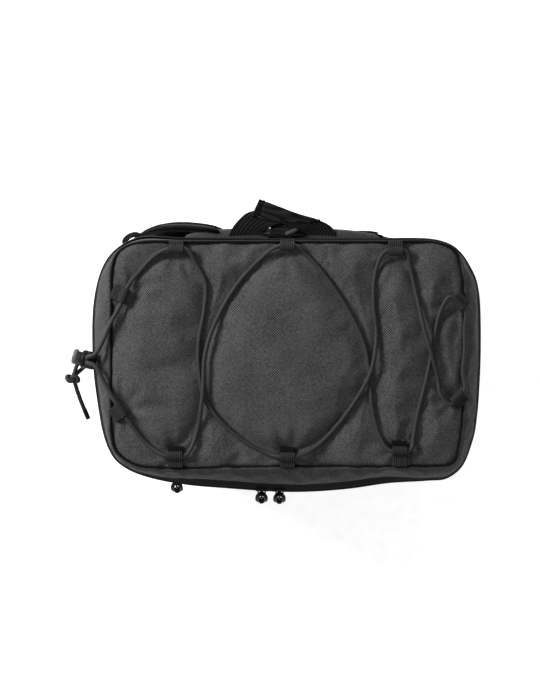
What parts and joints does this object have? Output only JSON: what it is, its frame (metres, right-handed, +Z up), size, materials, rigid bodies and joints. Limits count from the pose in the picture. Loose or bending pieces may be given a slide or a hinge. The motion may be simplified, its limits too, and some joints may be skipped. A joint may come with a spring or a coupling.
{
  "type": "sports backpack",
  "caption": "Upright sports backpack with a zip-open lid, a bungee lattice held by webbing loops, a cord lock, a haul handle, padded shoulder straps and a zipped front pocket.",
  "frame": {"origin": "centre of the flat underside of the base panel", "axes": "+Z up through the lid, -Y towards the front pocket, +Y towards the shoulder straps, +X to the right seen from the front"},
  "size_m": [0.42, 0.311, 0.4896],
  "materials": {
    "pack_cloth": "matte woven polyester",
    "spacer_mesh": "open knitted mesh",
    "strap_cloth": "matte woven polyester over foam",
    "binding": "woven tape",
    "zip_tape": "woven tape",
    "zip_coil": "nylon coil",
    "webbing": "ribbed webbing",
    "slider_metal": "black painted zinc",
    "pull": "moulded pull",
    "shock_cord": "braided sheath",
    "black_plastic": "moulded acetal",
    "button_plastic": "moulded acetal, glossy",
    "foam": "closed-cell foam",
    "board": "stiff board",
    "frame_plastic": "polyethylene sheet"
  },
  "bodies": {
    "pack": {"base_panel": "pack_cloth", "base_board": "board", "front_panel": "pack_cloth", "back_panel": "spacer_mesh", "side_panel_left": "pack_cloth", "side_panel_right": "pack_cloth", "base_piping": "binding", "body_zip_tape": "zip_tape", "body_zip_teeth": "zip_coil", "hinge_binding": "binding", "back_foam": "foam", "frame_sheet": "frame_plastic", "back_pad_left": "spacer_mesh", "back_pad_right": "spacer_mesh", "lumbar_pad": "spacer_mesh", "yoke_pad": "strap_cloth", "handle_anchors": "webbing", "corner_tab": "webbing", "strap_tabs": "webbing", "pocket_panel": "pack_cloth", "pocket_gusset": "pack_cloth", "pocket_zip_tape": "zip_tape", "pocket_zip_teeth": "zip_coil"},
    "lid": {"lid_panel": "pack_cloth", "lid_boxing": "pack_cloth", "lid_piping": "binding", "lid_zip_tape": "zip_tape", "lid_zip_teeth": "zip_coil", "bungee_cord": "shock_cord", "cord_knot": "shock_cord", "cord_lock_barrel": "black_plastic", "cord_loop_1": "webbing", "cord_loop_2": "webbing", "cord_loop_3": "webbing", "cord_loop_4": "webbing", "cord_loop_5": "webbing", "cord_loop_6": "webbing", "cord_loop_7": "webbing", "cord_loop_8": "webbing", "cord_loop_9": "webbing", "cord_loop_10": "webbing"},
    "lock_button": {"cord_lock_button": "button_plastic"},
    "slider_left": {"main_slider_left": "slider_metal"},
    "pull_left": {"main_pull_left": "pull"},
    "slider_right": {"main_slider_right": "slider_metal"},
    "pull_right": {"main_pull_right": "pull"},
    "pocket_slider": {"pocket_slider": "slider_metal"},
    "pocket_pull": {"pocket_pull": "pull"},
    "handle": {"haul_handle": "webbing"},
    "strap_left": {"strap_pad_left": "strap_cloth", "strap_mesh_left": "spacer_mesh", "strap_buckle_left": "black_plastic", "strap_webbing_left": "webbing"},
    "strap_right": {"strap_pad_right": "strap_cloth", "strap_mesh_right": "spacer_mesh", "strap_buckle_right": "black_plastic", "strap_webbing_right": "webbing"}
  },
  "joints": [
    {"name": "lid_open", "type": "hinge", "parent": "pack", "child": "lid", "pos_m": [0, 0.125, 0.44], "axis": [-1, 0, 0], "range_deg": [0, 95]},
    {"name": "slider_left_run", "type": "hinge", "parent": "pack", "child": "slider_left", "pos_m": [0, 0.61453, 0.44], "axis": [0, 0, -1], "range_deg": [0, 9]},
    {"name": "slider_right_run", "type": "hinge", "parent": "pack", "child": "slider_right", "pos_m": [0, 0.61453, 0.44], "axis": [0, 0, 1], "range_deg": [0, 9]},
    {"name": "pull_left_flip", "type": "hinge", "parent": "slider_left", "child": "pull_left", "pos_m": [-0.02615, -0.13424, 0.44], "axis": [-0.9994, 0.0349, 0], "range_deg": [0, 150]},
    {"name": "pull_right_flip", "type": "hinge", "parent": "slider_right", "child": "pull_right", "pos_m": [-0.00785, -0.13466, 0.44], "axis": [-0.9999, 0.0105, 0], "range_deg": [0, 150]},
    {"name": "pocket_slider_run", "type": "hinge", "parent": "pack", "child": "pocket_slider", "pos_m": [0, 0.61453, 0.401], "axis": [0, 0, 1], "range_deg": [0, 17.6]},
    {"name": "pocket_pull_flip", "type": "hinge", "parent": "pocket_slider", "child": "pocket_pull", "pos_m": [-0.11462, -0.12588, 0.401], "axis": [-0.9882, 0.153, 0], "range_deg": [0, 150]},
    {"name": "lock_button_press", "type": "slide", "parent": "lid", "child": "lock_button", "axis": [0.9659, -0.2588, 0], "range_m": [0, 0.004], "stiffness_N_per_m": 600},
    {"name": "handle_lift", "type": "hinge", "parent": "pack", "child": "handle", "pos_m": [0, 0.129, 0.432], "axis": [-1, 0, 0], "range_deg": [-60, 0]},
    {"name": "strap_left_swing", "type": "hinge", "parent": "pack", "child": "strap_left", "pos_m": [-0.044, 0.13, 0.435], "axis": [-0.2362, 0, -0.9717], "range_deg": [0, 45]},
    {"name": "strap_right_swing", "type": "hinge", "parent": "pack", "child": "strap_right", "pos_m": [0.0315, 0.13, 0.435], "axis": [-0.1057, 0, 0.9944], "range_deg": [0, 45]}
  ],
  "couplings": [
    {"joint": "slider_left_run", "follows": "lid_open", "ratio": 0.0947},
    {"joint": "slider_right_run", "follows": "lid_open", "ratio": 0.0947}
  ]
}
